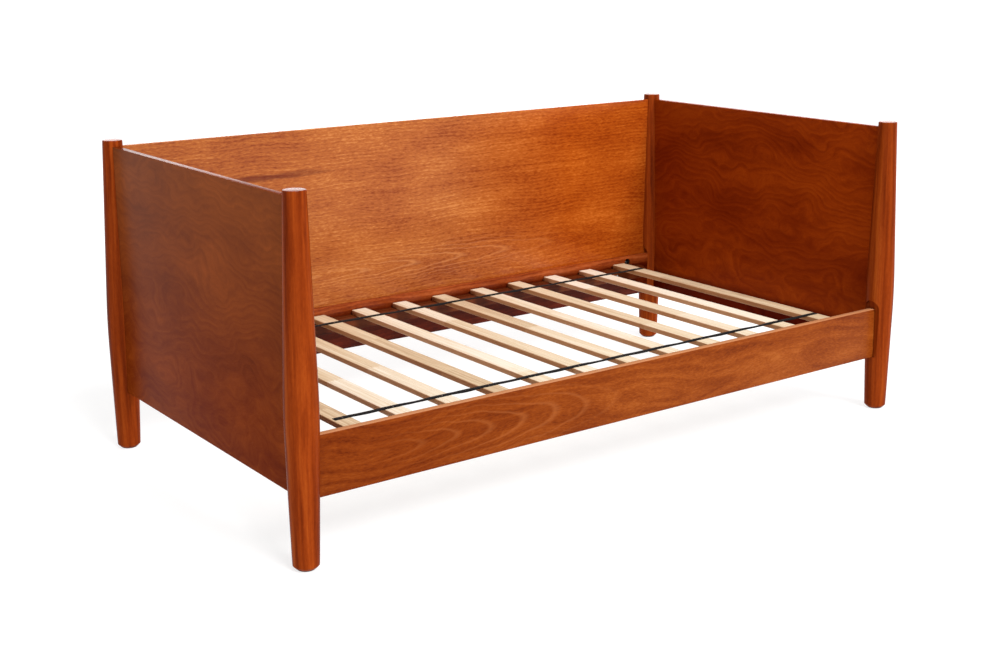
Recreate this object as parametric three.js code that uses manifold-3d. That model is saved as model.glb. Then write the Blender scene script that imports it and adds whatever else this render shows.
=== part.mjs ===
// A twin daybed: four turned posts, two end panels, a back panel with a back rail, a front rail, and a
// deck of pine slats that lies loose on two cleats. Millimetres, +Z up, +X along the bed, -Y to its open
// front. The origin is on the floor under the middle of the bed.
import * as THREE from 'three';
import { mergeVertices } from 'three/addons/utils/BufferGeometryUtils.js';
import Module from 'manifold-3d';

const wasm = await Module();
wasm.setup();

// Driving dimensions of the frame. Spans run between the posts' centre lines.
const POST_SPAN_X = 1960;
const POST_SPAN_Y = 1028;
const POST_HEIGHT = 871;
const PANEL_THICKNESS = 19;
const PANEL_BOTTOM = 167;
const PANEL_TOP = 854.5;
const RAIL_TOP = 312;
const FRONT_RAIL_BOTTOM = 163;
const FRONT_RAIL_THICKNESS = 20;
const BACK_RAIL_BOTTOM = 172;
const BACK_RAIL_THICKNESS = 15.5;
const FIT_GAP = 0.3;

// Posts: thickest at the knee, a little above the rails, and thinner towards the top and the foot.
const TOP_RADIUS = 26.8;
const KNEE_RADIUS = 41.5;
const KNEE_HEIGHT = 362;
const KNEE_BLEND = 72;
const FOOT_RADIUS = 31.5;
const FOOT_CHAMFER = 7;
const TOP_ROUND = 3;
const POST_SEGMENTS = 32;
const GLIDE_RADIUS = 22;
const GLIDE_THICKNESS = 3;
const GLIDE_CHAMFER = 1;

// Joinery routed into the posts, measured from the post's centre line.
const GROOVE_FLOOR = 20;
const POCKET_FLOOR = 30;
const POCKET_HALF_WIDTH = 25;
const CUTTER_REACH = 60;

// Knock-down fittings that hold the rails: a stud in the post, a half-moon washer and a nut in the rail.
const STUD_HEIGHTS = { lower: 205, upper: 291 };
const STUD_RADIUS = 3;
const STUD_INNER_X = 851;
const STUD_OUTER_X = 976;
const BORE_RADIUS = 3.4;
const NUT_POCKET_X = 855;
const NUT_POCKET_RADIUS = 12;
const NUT_POCKET_FLOOR = 6;
const WASHER_RADIUS = 11.6;
const WASHER_CHORD = 5;
const WASHER_HALF_WIDTH = 5.5;
const NUT_RADIUS = 5.8;
const NUT_THICKNESS = 4.8;

// Cleats that carry the slats, and their screws.
const CLEAT_LENGTH = 1800;
const CLEAT_DEPTH = 37;
const CLEAT_BOTTOM = 239;
const CLEAT_TOP = 278;
const SCREW_SPACING = 780;
const SCREW_SHANK_RADIUS = 2;
const SCREW_SHANK_LENGTH = 45;
const SCREW_HEAD_RADIUS = 4;
const SCREW_HEAD_HEIGHT = 2.6;
const SCREW_HOLE_RADIUS = 2.4;
const COUNTERBORE_RADIUS = 4.7;
const COUNTERBORE_DEPTH = 4;

// Slat deck.
const SLAT_COUNT = 12;
const SLAT_WIDTH = 50;
const SLAT_THICKNESS = 14;
const SLAT_BACK_Y = 483;
const SLAT_FRONT_Y = -501;
const FIRST_SLAT_X = -840;
const SLAT_PITCH = 147.5;
const SLAT_DRIFT = 16;
const SLAT_EDGE_RADIUS = 2;
const STRAP_WIDTH = 16;
const STRAP_THICKNESS = 1.5;
const STRAP_GAP = 0.2;
const STRAP_SAG = 1;
const STRAP_SAG_STEPS = 4;
const STRAP_END_INSET = 6;
const STRAP_LINES = { front: -400, back: 380 };

const POST_X = POST_SPAN_X / 2;
const POST_Y = POST_SPAN_Y / 2;
const HALF_PANEL = PANEL_THICKNESS / 2;
const FRONT_RAIL_INNER_Y = -POST_Y + FRONT_RAIL_THICKNESS / 2;
const BACK_RAIL_OUTER_Y = POST_Y - HALF_PANEL;
const BACK_RAIL_INNER_Y = BACK_RAIL_OUTER_Y - BACK_RAIL_THICKNESS;
const BACK_STUD_Y = BACK_RAIL_OUTER_Y - BACK_RAIL_THICKNESS / 2;
const ARRIS_RADIUS = 2;
const RAIL_EDGE_RADIUS = 3;
const CORNER_STEPS = 3;
const BORE_SEGMENTS = 12;
const POCKET_SEGMENTS = 24;

const lacqueredWood = new THREE.MeshStandardMaterial({ color: 0x9a4a1c, roughness: 0.35 });
const pine = new THREE.MeshStandardMaterial({ color: 0xe2cba4, roughness: 0.6 });
const webbing = new THREE.MeshStandardMaterial({ color: 0x1d1d1f, roughness: 0.9 });
const glidePlastic = new THREE.MeshStandardMaterial({ color: 0x141414, roughness: 0.5 });
const zincSteel = new THREE.MeshStandardMaterial({ color: 0xb9bcc0, roughness: 0.35, metalness: 1 });
const blackSteel = new THREE.MeshStandardMaterial({ color: 0x191a1c, roughness: 0.45, metalness: 0.6 });

const daybed = new THREE.Group();
const slatDeck = new THREE.Group();
daybed.add(slatDeck);

function addPiece(name, geometry, material, group = daybed) {
  const mesh = new THREE.Mesh(geometry, material);
  mesh.name = name;
  group.add(mesh);
  return mesh;
}

// Solids for cutting: vertices shared, and the flat triangles at a lathe's poles left out.
function toSolid(geometry) {
  const plain = geometry.clone();
  plain.deleteAttribute('normal');
  plain.deleteAttribute('uv');
  const merged = mergeVertices(plain);
  const corners = merged.index.array;
  const kept = [];
  for (let i = 0; i < corners.length; i += 3) {
    const [a, b, c] = [corners[i], corners[i + 1], corners[i + 2]];
    if (a !== b && b !== c && c !== a) kept.push(a, b, c);
  }
  return new wasm.Manifold(new wasm.Mesh({
    numProp: 3,
    vertProperties: new Float32Array(merged.attributes.position.array),
    triVerts: new Uint32Array(kept),
  }));
}

function cut(geometry, cutters) {
  const solid = cutters.reduce((rest, cutter) => rest.subtract(toSolid(cutter)), toSolid(geometry));
  const mesh = solid.getMesh();
  const result = new THREE.BufferGeometry();
  result.setAttribute('position', new THREE.BufferAttribute(mesh.vertProperties, 3));
  result.setIndex(new THREE.BufferAttribute(mesh.triVerts, 1));
  result.computeVertexNormals();
  return result;
}

// Basic shapes, placed by their limits.
function block([x0, x1], [y0, y1], [z0, z1]) {
  const box = new THREE.BoxGeometry(Math.abs(x1 - x0), Math.abs(y1 - y0), Math.abs(z1 - z0));
  return box.translate((x0 + x1) / 2, (y0 + y1) / 2, (z0 + z1) / 2);
}

function rodAlongX(radius, x0, x1, y, z) {
  const rod = new THREE.CylinderGeometry(radius, radius, Math.abs(x1 - x0), BORE_SEGMENTS);
  return rod.rotateZ(Math.PI / 2).translate((x0 + x1) / 2, y, z);
}

function rodAlongY(radius, y0, y1, x, z, segments = BORE_SEGMENTS) {
  const rod = new THREE.CylinderGeometry(radius, radius, Math.abs(y1 - y0), segments);
  return rod.translate(x, (y0 + y1) / 2, z);
}

// A section drawn in X and Z, run along Y.
function runAlongY(section, y0, y1) {
  const bar = new THREE.ExtrudeGeometry(section, {
    depth: y1 - y0,
    bevelEnabled: false,
    curveSegments: CORNER_STEPS,
  });
  return bar.rotateX(Math.PI / 2).translate(0, y1, 0);
}

// A section drawn in Y and Z, run along X.
function runAlongX(section, x0, x1, curveSegments = CORNER_STEPS) {
  const bar = new THREE.ExtrudeGeometry(section, { depth: x1 - x0, bevelEnabled: false, curveSegments });
  const turn = new THREE.Matrix4().makeBasis(
    new THREE.Vector3(0, 1, 0),
    new THREE.Vector3(0, 0, 1),
    new THREE.Vector3(1, 0, 0),
  );
  return bar.applyMatrix4(turn).translate(x0, 0, 0);
}

function easedRectangle(u0, u1, v0, v1, radius) {
  const shape = new THREE.Shape();
  shape.moveTo(u0 + radius, v0);
  shape.absarc(u1 - radius, v0 + radius, radius, -Math.PI / 2, 0, false);
  shape.absarc(u1 - radius, v1 - radius, radius, 0, Math.PI / 2, false);
  shape.absarc(u0 + radius, v1 - radius, radius, Math.PI / 2, Math.PI, false);
  shape.absarc(u0 + radius, v0 + radius, radius, Math.PI, 1.5 * Math.PI, false);
  return shape;
}

// Posts. Each is turned from solid wood, then grooved for its panels and pocketed for its rail.
function turnedPost() {
  const footTop = GLIDE_THICKNESS + FOOT_CHAMFER;
  const lowerTaper = (KNEE_RADIUS - FOOT_RADIUS) / (KNEE_HEIGHT - footTop);
  const upperTaper = (KNEE_RADIUS - TOP_RADIUS) / (POST_HEIGHT - KNEE_HEIGHT);
  const outline = new THREE.Path();
  outline.moveTo(0, GLIDE_THICKNESS);
  outline.lineTo(FOOT_RADIUS - FOOT_CHAMFER, GLIDE_THICKNESS);
  outline.lineTo(FOOT_RADIUS, footTop);
  outline.lineTo(KNEE_RADIUS - KNEE_BLEND * lowerTaper, KNEE_HEIGHT - KNEE_BLEND);
  outline.quadraticCurveTo(
    KNEE_RADIUS, KNEE_HEIGHT, KNEE_RADIUS - KNEE_BLEND * upperTaper, KNEE_HEIGHT + KNEE_BLEND,
  );
  outline.lineTo(TOP_RADIUS, POST_HEIGHT - TOP_ROUND);
  outline.quadraticCurveTo(TOP_RADIUS, POST_HEIGHT, TOP_RADIUS - TOP_ROUND, POST_HEIGHT);
  outline.lineTo(0, POST_HEIGHT);
  return new THREE.LatheGeometry(outline.getPoints(CORNER_STEPS), POST_SEGMENTS).rotateX(Math.PI / 2);
}

// A flat-floored pocket with a half-round upper end, cut from the side that faces the rail.
function railPocket(towardsRail, railBottom) {
  const outline = new THREE.Shape();
  outline.moveTo(-POCKET_HALF_WIDTH, railBottom - FIT_GAP);
  outline.lineTo(POCKET_HALF_WIDTH, railBottom - FIT_GAP);
  outline.absarc(0, RAIL_TOP, POCKET_HALF_WIDTH, 0, Math.PI, false);
  const [x0, x1] = [towardsRail * POCKET_FLOOR, towardsRail * CUTTER_REACH].sort((a, b) => a - b);
  return runAlongX(outline, x0, x1, POCKET_SEGMENTS / 2);
}

function addPost(name, sideX, sideY) {
  const [inX, inY] = [-sideX, -sideY];
  const isBack = sideY > 0;
  const railBottom = isBack ? BACK_RAIL_BOTTOM : FRONT_RAIL_BOTTOM;
  const studY = isBack ? BACK_STUD_Y - POST_Y : 0;
  const grooveHalf = HALF_PANEL + FIT_GAP;
  const grooveRun = [PANEL_BOTTOM - FIT_GAP, PANEL_TOP + FIT_GAP];
  const cutters = [
    block([-grooveHalf, grooveHalf], [inY * GROOVE_FLOOR, inY * CUTTER_REACH], grooveRun),
    railPocket(inX, railBottom),
  ];
  if (isBack) {
    cutters.push(block([inX * GROOVE_FLOOR, inX * CUTTER_REACH], [-grooveHalf, grooveHalf], grooveRun));
  }
  const boreFloor = POST_X - STUD_OUTER_X - 2 * FIT_GAP;
  for (const height of Object.values(STUD_HEIGHTS)) {
    cutters.push(rodAlongX(BORE_RADIUS, inX * boreFloor, inX * CUTTER_REACH, studY, height));
  }
  const post = addPiece(`post_${name}`, cut(turnedPost(), cutters), lacqueredWood);
  post.position.set(sideX * POST_X, sideY * POST_Y, 0);

  const glideOutline = [
    new THREE.Vector2(0, 0),
    new THREE.Vector2(GLIDE_RADIUS - GLIDE_CHAMFER, 0),
    new THREE.Vector2(GLIDE_RADIUS, GLIDE_CHAMFER),
    new THREE.Vector2(GLIDE_RADIUS, GLIDE_THICKNESS),
    new THREE.Vector2(0, GLIDE_THICKNESS),
  ];
  const disc = new THREE.LatheGeometry(glideOutline, POCKET_SEGMENTS).rotateX(Math.PI / 2);
  const glide = addPiece(`foot_glide_${name}`, disc, glidePlastic);
  glide.position.copy(post.position);
}

// Panels: veneered boards whose edges stand in the posts' grooves.
function addEndPanel(name, sideX) {
  const reach = POST_Y - GROOVE_FLOOR - FIT_GAP;
  const section = easedRectangle(-HALF_PANEL, HALF_PANEL, PANEL_BOTTOM, PANEL_TOP, ARRIS_RADIUS);
  const panel = addPiece(`end_panel_${name}`, runAlongY(section, -reach, reach), lacqueredWood);
  panel.position.x = sideX * POST_X;
}

function addBackPanel() {
  const reach = POST_X - GROOVE_FLOOR - FIT_GAP;
  const section = easedRectangle(-HALF_PANEL, HALF_PANEL, PANEL_BOTTOM, PANEL_TOP, ARRIS_RADIUS);
  const panel = addPiece('back_panel', runAlongX(section, -reach, reach), lacqueredWood);
  panel.position.y = POST_Y;
}

// Rails. A rail has a bore from each end for each stud, a nut pocket that the bore runs into, opened
// from the bed's inside, and pilot holes for its cleat's screws.
function railCutters(innerY, towardsInside, studY) {
  const cutters = [];
  const pocketFloor = studY - towardsInside * NUT_POCKET_FLOOR;
  const pocketMouth = innerY + towardsInside;
  for (const side of [-1, 1]) {
    for (const height of Object.values(STUD_HEIGHTS)) {
      cutters.push(rodAlongX(BORE_RADIUS, side * NUT_POCKET_X, side * POST_X, studY, height));
      cutters.push(rodAlongY(
        NUT_POCKET_RADIUS, pocketFloor, pocketMouth, side * NUT_POCKET_X, height, POCKET_SEGMENTS,
      ));
    }
  }
  const screwReach = CLEAT_DEPTH - COUNTERBORE_DEPTH - SCREW_SHANK_LENGTH - FIT_GAP;
  const screwTip = innerY + towardsInside * screwReach;
  for (const x of screwPlaces()) {
    cutters.push(rodAlongY(SCREW_HOLE_RADIUS, screwTip, pocketMouth, x, (CLEAT_BOTTOM + CLEAT_TOP) / 2));
  }
  return cutters;
}

function screwPlaces() {
  return [-SCREW_SPACING, 0, SCREW_SPACING];
}

function addFrontRail() {
  const reach = POST_X - POCKET_FLOOR - FIT_GAP;
  const half = FRONT_RAIL_THICKNESS / 2;
  const section = easedRectangle(
    -POST_Y - half, -POST_Y + half, FRONT_RAIL_BOTTOM, RAIL_TOP, RAIL_EDGE_RADIUS,
  );
  const board = runAlongX(section, -reach, reach);
  addPiece('front_rail', cut(board, railCutters(FRONT_RAIL_INNER_Y, 1, -POST_Y)), lacqueredWood);
}

function addBackRail() {
  const reach = POST_X - POCKET_FLOOR - FIT_GAP;
  const board = block([-reach, reach], [BACK_RAIL_INNER_Y, BACK_RAIL_OUTER_Y], [BACK_RAIL_BOTTOM, RAIL_TOP]);
  addPiece('back_rail', cut(board, railCutters(BACK_RAIL_INNER_Y, -1, BACK_STUD_Y)), lacqueredWood);
}

// Fittings: one stud, washer and nut for each stud height at each end of a rail.
function washerSection(side) {
  const halfAngle = Math.acos(WASHER_CHORD / WASHER_RADIUS);
  const middle = side > 0 ? 0 : Math.PI;
  const section = new THREE.Shape();
  section.absarc(0, 0, WASHER_RADIUS, middle - halfAngle, middle + halfAngle, false);
  return section;
}

function addFittings(railName, studY) {
  for (const [sideName, side] of [['left', -1], ['right', 1]]) {
    for (const [level, height] of Object.entries(STUD_HEIGHTS)) {
      const place = `${railName}_${sideName}_${level}`;
      const stud = rodAlongX(STUD_RADIUS, side * STUD_INNER_X, side * STUD_OUTER_X, studY, height);
      addPiece(`stud_${place}`, stud, zincSteel);

      const halfMoon = runAlongY(washerSection(side), -WASHER_HALF_WIDTH, WASHER_HALF_WIDTH);
      const throughHole = rodAlongX(BORE_RADIUS, 0, side * CUTTER_REACH, 0, 0);
      const washer = addPiece(`half_moon_washer_${place}`, cut(halfMoon, [throughHole]), blackSteel);
      washer.position.set(side * NUT_POCKET_X, studY, height);

      const chord = side * (WASHER_CHORD - FIT_GAP);
      const hexagon = new THREE.CylinderGeometry(NUT_RADIUS, NUT_RADIUS, NUT_THICKNESS, 6);
      hexagon.rotateZ(Math.PI / 2).translate(chord - side * NUT_THICKNESS / 2, 0, 0);
      const thread = rodAlongX(BORE_RADIUS, -CUTTER_REACH, CUTTER_REACH, 0, 0);
      const nut = addPiece(`nut_${place}`, cut(hexagon, [thread]), blackSteel);
      nut.position.copy(washer.position);
    }
  }
}

// Cleats, glued and screwed along the rails' inner faces.
function addCleat(name, railFaceY, towardsInside) {
  const innerFaceY = railFaceY + towardsInside * CLEAT_DEPTH;
  const bar = block(
    [-CLEAT_LENGTH / 2, CLEAT_LENGTH / 2], [railFaceY, innerFaceY], [CLEAT_BOTTOM, CLEAT_TOP],
  );
  const seatY = innerFaceY - towardsInside * COUNTERBORE_DEPTH;
  const height = (CLEAT_BOTTOM + CLEAT_TOP) / 2;
  const cutters = [];
  for (const x of screwPlaces()) {
    cutters.push(rodAlongY(SCREW_HOLE_RADIUS, railFaceY - towardsInside, innerFaceY, x, height));
    cutters.push(rodAlongY(COUNTERBORE_RADIUS, seatY, innerFaceY + towardsInside, x, height));
  }
  addPiece(`slat_cleat_${name}`, cut(bar, cutters), lacqueredWood);
  for (const [place, x] of [['left', -SCREW_SPACING], ['middle', 0], ['right', SCREW_SPACING]]) {
    const screw = addPiece(`cleat_screw_${name}_${place}`, panHeadScrew(), zincSteel);
    screw.rotation.z = towardsInside > 0 ? 0 : Math.PI;
    screw.position.set(x, seatY + towardsInside * FIT_GAP, height);
  }
}

function panHeadScrew() {
  const outline = new THREE.Path();
  outline.moveTo(0, -SCREW_SHANK_LENGTH);
  outline.lineTo(SCREW_SHANK_RADIUS, -SCREW_SHANK_LENGTH);
  outline.lineTo(SCREW_SHANK_RADIUS, 0);
  outline.lineTo(SCREW_HEAD_RADIUS, 0);
  outline.quadraticCurveTo(SCREW_HEAD_RADIUS, SCREW_HEAD_HEIGHT, 0, SCREW_HEAD_HEIGHT);
  return new THREE.LatheGeometry(outline.getPoints(CORNER_STEPS), BORE_SEGMENTS);
}

// Slats, a little closer together at the middle of the deck than an even spacing would put them.
function slatLeft(index) {
  return FIRST_SLAT_X + index * SLAT_PITCH - SLAT_DRIFT * Math.sin((Math.PI * index) / (SLAT_COUNT - 1));
}

function addSlat(index) {
  const section = easedRectangle(0, SLAT_WIDTH, CLEAT_TOP, CLEAT_TOP + SLAT_THICKNESS, SLAT_EDGE_RADIUS);
  const name = `slat_${String(index + 1).padStart(2, '0')}`;
  const slat = addPiece(name, runAlongY(section, SLAT_FRONT_Y, SLAT_BACK_Y), pine, slatDeck);
  slat.position.x = slatLeft(index);
}

// A strap lies on every slat and sags a very little in the gaps between them.
function strapLine() {
  const points = [];
  for (let index = 0; index < SLAT_COUNT; index += 1) {
    const isFirst = index === 0;
    const isLast = index === SLAT_COUNT - 1;
    const start = slatLeft(index) + (isFirst ? STRAP_END_INSET : 0);
    const end = slatLeft(index) + SLAT_WIDTH - (isLast ? STRAP_END_INSET : 0);
    points.push(new THREE.Vector2(start, 0), new THREE.Vector2(end, 0));
    if (isLast) break;
    const gap = slatLeft(index + 1) - end;
    for (let step = 1; step < STRAP_SAG_STEPS; step += 1) {
      const t = step / STRAP_SAG_STEPS;
      points.push(new THREE.Vector2(end + gap * t, -4 * STRAP_SAG * t * (1 - t)));
    }
  }
  return points;
}

function addStrap(name, middleY) {
  const underside = CLEAT_TOP + SLAT_THICKNESS + STRAP_GAP;
  const lower = strapLine().map((point) => new THREE.Vector2(point.x, point.y + underside));
  const upper = lower.map((point) => new THREE.Vector2(point.x, point.y + STRAP_THICKNESS)).reverse();
  const band = runAlongY(new THREE.Shape([...lower, ...upper]), -STRAP_WIDTH / 2, STRAP_WIDTH / 2);
  const strap = addPiece(`slat_strap_${name}`, band, webbing, slatDeck);
  strap.position.y = middleY;
}

addPost('front_left', -1, -1);
addPost('front_right', 1, -1);
addPost('back_left', -1, 1);
addPost('back_right', 1, 1);
addEndPanel('left', -1);
addEndPanel('right', 1);
addBackPanel();
addBackRail();
addFrontRail();
addFittings('front', -POST_Y);
addFittings('back', BACK_STUD_Y);
addCleat('front', FRONT_RAIL_INNER_Y, 1);
addCleat('back', BACK_RAIL_INNER_Y, -1);
for (let index = 0; index < SLAT_COUNT; index += 1) addSlat(index);
addStrap('front', STRAP_LINES.front);
addStrap('back', STRAP_LINES.back);

export default daybed;
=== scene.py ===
import math
import bmesh
import bpy
from mathutils import Matrix, Vector


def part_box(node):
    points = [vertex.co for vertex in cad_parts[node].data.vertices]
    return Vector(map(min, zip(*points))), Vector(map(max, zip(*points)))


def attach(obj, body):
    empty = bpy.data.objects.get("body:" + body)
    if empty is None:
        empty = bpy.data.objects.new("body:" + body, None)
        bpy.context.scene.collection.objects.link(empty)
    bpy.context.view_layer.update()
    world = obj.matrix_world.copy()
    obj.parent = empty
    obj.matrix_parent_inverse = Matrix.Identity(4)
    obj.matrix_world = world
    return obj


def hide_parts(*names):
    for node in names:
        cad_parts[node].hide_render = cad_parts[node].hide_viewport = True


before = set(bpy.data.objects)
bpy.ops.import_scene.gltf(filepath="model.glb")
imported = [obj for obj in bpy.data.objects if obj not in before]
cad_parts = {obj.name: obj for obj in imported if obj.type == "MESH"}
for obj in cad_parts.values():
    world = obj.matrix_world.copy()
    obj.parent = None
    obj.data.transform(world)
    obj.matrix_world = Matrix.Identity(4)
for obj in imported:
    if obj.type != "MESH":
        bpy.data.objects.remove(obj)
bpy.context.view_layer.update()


# The studio. The bed stands on a seamless white floor in a white surround. A large far light in front lights
# it evenly, one softbox at its left puts a soft edge on the posts, one hangs above the slats, and a wide one
# behind shines along the top edges.
MAIN_LIGHT_SPREAD = 28
AIM_HEIGHT = 0.4


def colour(code):
    """An sRGB hex colour as linear red, green, blue and alpha."""
    parts = [int(code[place:place + 2], 16) / 255 for place in (1, 3, 5)]
    return (*[part / 12.92 if part <= 0.04045 else ((part + 0.055) / 1.055) ** 2.4 for part in parts], 1)


def add(tree, kind, inputs=(), stops=(), **settings):
    """Adds a node. Each input is a value or another node's output; stops are a ramp's places and colours."""
    node = tree.nodes.new(kind)
    for setting, value in settings.items():
        setattr(node, setting, value)
    for socket, value in dict(inputs).items():
        if isinstance(value, bpy.types.NodeSocket):
            tree.links.new(value, node.inputs[socket])
        else:
            node.inputs[socket].default_value = value
    for number, (place, shade) in enumerate(stops):
        ramp = node.color_ramp.elements
        stop = ramp[number] if number < 2 else ramp.new(place)
        stop.position = place
        stop.color = shade
    return node


def new_material(name):
    """An empty material and its node tree."""
    material = bpy.data.materials.new(name)
    material.use_nodes = True
    material.node_tree.nodes.clear()
    return material, material.node_tree


scene = bpy.context.scene
scene.view_settings.view_transform = "Standard"

lens = bpy.data.cameras.new("camera")
lens.sensor_width = 36
lens.lens = 52.56
lens.shift_y = -0.1
camera = bpy.data.objects.new("camera", lens)
camera.location = (-2.4549, -3.2791, 1.3896)
camera.rotation_euler = (math.radians(78.747), math.radians(0.256), math.radians(-36.252))
scene.collection.objects.link(camera)
scene.camera = camera

# The surround is white near the horizon and dimmer overhead.
surround = bpy.data.worlds.new("white_surround")
surround.use_nodes = True
tree = surround.node_tree
direction = add(tree, "ShaderNodeTexCoord").outputs["Generated"]
upwards = add(tree, "ShaderNodeSeparateXYZ", {0: direction}).outputs[2]
glow = add(tree, "ShaderNodeMapRange", {
    0: upwards, 1: 0.12, 2: 0.4, 3: 1.1, 4: 0.36,
}, interpolation_type="SMOOTHSTEP").outputs[0]
tree.nodes["Background"].inputs["Color"].default_value = colour("#f9fafb")
tree.links.new(glow, tree.nodes["Background"].inputs["Strength"])
scene.world = surround

# The main light is far away and 28 degrees across, so it is as bright at the back of the floor as in front.
# The softboxes' power is in watts and their size in metres.
for name, kind, place, power, size in (
    ("main_light", "SUN", (0.4, -4.6, 5.0), 3.6, None),
    ("side_light", "AREA", (-5.2, -3.0, 2.6), 12, (1.8, 1.8)),
    ("top_light", "AREA", (1.0, -0.4, 3.4), 32, (3.0, 2.0)),
    ("back_light", "AREA", (3.0, 4.4, 1.9), 115, (6.5, 1.5)),
):
    lamp = bpy.data.lights.new(name, kind)
    lamp.energy = power
    if size is None:
        lamp.angle = math.radians(MAIN_LIGHT_SPREAD)
    else:
        lamp.shape = "RECTANGLE"
        lamp.size, lamp.size_y = size
    light = bpy.data.objects.new(name, lamp)
    light.visible_camera = False
    light.location = place
    light.rotation_euler = (Vector(place) - Vector((0, 0, AIM_HEIGHT))).to_track_quat("Z", "Y").to_euler()
    scene.collection.objects.link(light)

# The floor is matt white vinyl, lit from below as well, so that its shadows stay faint. Its tone drifts by a
# hair over about a metre. It lies half a millimetre under the glides.
vinyl, tree = new_material("matt_white_vinyl")
drift = add(tree, "ShaderNodeTexNoise", {
    "Vector": add(tree, "ShaderNodeTexCoord").outputs["Object"], "Scale": 0.8, "Detail": 2.0,
})
shade = add(tree, "ShaderNodeValToRGB", {"Fac": drift.outputs["Fac"]}, stops=(
    (0.3, colour("#8f8f8e")), (0.7, colour("#959595")),
))
shader = add(tree, "ShaderNodeBsdfPrincipled", {
    "Base Color": shade.outputs["Color"], "Roughness": 0.85,
    "Emission Color": colour("#ffffff"), "Emission Strength": 0.75,
})
add(tree, "ShaderNodeOutputMaterial", {"Surface": shader.outputs["BSDF"]})

sweep = bmesh.new()
bmesh.ops.create_grid(sweep, x_segments=1, y_segments=1, size=400)
floor_mesh = bpy.data.meshes.new("floor")
sweep.to_mesh(floor_mesh)
sweep.free()
floor_mesh.materials.append(vinyl)
floor = bpy.data.objects.new("floor", floor_mesh)
floor.location.z = -0.0005
scene.collection.objects.link(floor)


# The four posts. Each is one length of solid hardwood turned on a lathe: thickest at a knee a little above
# the rails, thinner to the top and the foot. Its grooves for the panels and its round-topped pocket for
# the rail are routed afterwards, then it is stained orange-brown and sprayed with semi-gloss lacquer.
MM = 0.001
TOP_RADIUS, KNEE_RADIUS, FOOT_RADIUS = 26.8, 41.5, 31.5
KNEE_HEIGHT, KNEE_BLEND = 362, 72
FOOT_CHAMFER, FOOT_EASE, TOP_ROUND = 7, 1.2, 3
FOOT_STEPS, KNEE_STEPS, UPPER_STEPS, ROUND_STEPS = 13, 16, 18, 5
POCKET_FLOOR, POCKET_HALF_WIDTH, CUTTER_REACH = 30, 25, 60
FIT_GAP = 0.3
BORE_RADIUS = 3.4
# At the floor, the pith stands this far from a post's middle, outwards in X and inwards in Y.
PITH_OUTWARDS, PITH_INWARDS = 20, 14
# A wave texture of scale 1 repeats every 0.314 m. The noises of scale 1 have cells of about a metre, so the
# flecks are about 16 by 4 mm, and the pores are drawn 2 mm wide so that they show.
WAVE_REPEAT = 0.314
FLECKS_PER_METRE, PORES_PER_METRE = (60, 240, 240), (90, 520, 520)
SIDES = {"front_left": (-1, -1), "front_right": (1, -1), "back_left": (-1, 1), "back_right": (1, 1)}


def block(low, high):
    """A box between two corners."""
    shape = bmesh.new()
    size = [top - bottom for bottom, top in zip(low, high)]
    middle = [(top + bottom) / 2 for bottom, top in zip(low, high)]
    bmesh.ops.create_cube(shape, size=1, matrix=Matrix.Translation(middle) @ Matrix.Diagonal((*size, 1)))
    return shape


def rod(start, end, radius, sides=32):
    """A round bar between two points."""
    shape = bmesh.new()
    run = Vector(end) - Vector(start)
    turn = run.to_track_quat("Z", "Y").to_matrix().to_4x4()
    bmesh.ops.create_cone(
        shape, cap_ends=True, segments=sides, radius1=radius, radius2=radius, depth=run.length,
        matrix=Matrix.Translation((Vector(start) + Vector(end)) / 2) @ turn,
    )
    return shape


def new_object(name, shape):
    """An object made from a bmesh, which is freed."""
    mesh = bpy.data.meshes.new(name)
    shape.to_mesh(mesh)
    shape.free()
    made = bpy.data.objects.new(name, mesh)
    scene.collection.objects.link(made)
    return made


def finish(name, shape, material, body, nodes, cutters=(), crease=32):
    """Cuts a shape, smooths it up to its creases, and puts it on its body in place of its CAD nodes."""
    made = new_object(name, shape)
    if cutters:
        tools = [new_object(f"{name}_cutter", cutter) for cutter in cutters]
        for tool in tools:
            made.modifiers.new("cut", "BOOLEAN").object = tool
        bpy.context.view_layer.update()
        evaluated = made.evaluated_get(bpy.context.evaluated_depsgraph_get())
        made.data = bpy.data.meshes.new_from_object(evaluated)
        made.data.name = name
        made.modifiers.clear()
        for tool in tools:
            bpy.data.objects.remove(tool)
    skin = bmesh.new()
    skin.from_mesh(made.data)
    bmesh.ops.remove_doubles(skin, verts=skin.verts, dist=1e-6)
    bmesh.ops.recalc_face_normals(skin, faces=skin.faces)
    for face in skin.faces:
        face.smooth = True
        face.material_index = 0
    for edge in skin.edges:
        edge.smooth = edge.calc_face_angle(0) < math.radians(crease)
    skin.to_mesh(made.data)
    skin.free()
    made.data.materials.clear()
    made.data.materials.append(material)
    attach(made, body)
    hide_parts(*nodes)
    return made


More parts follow.
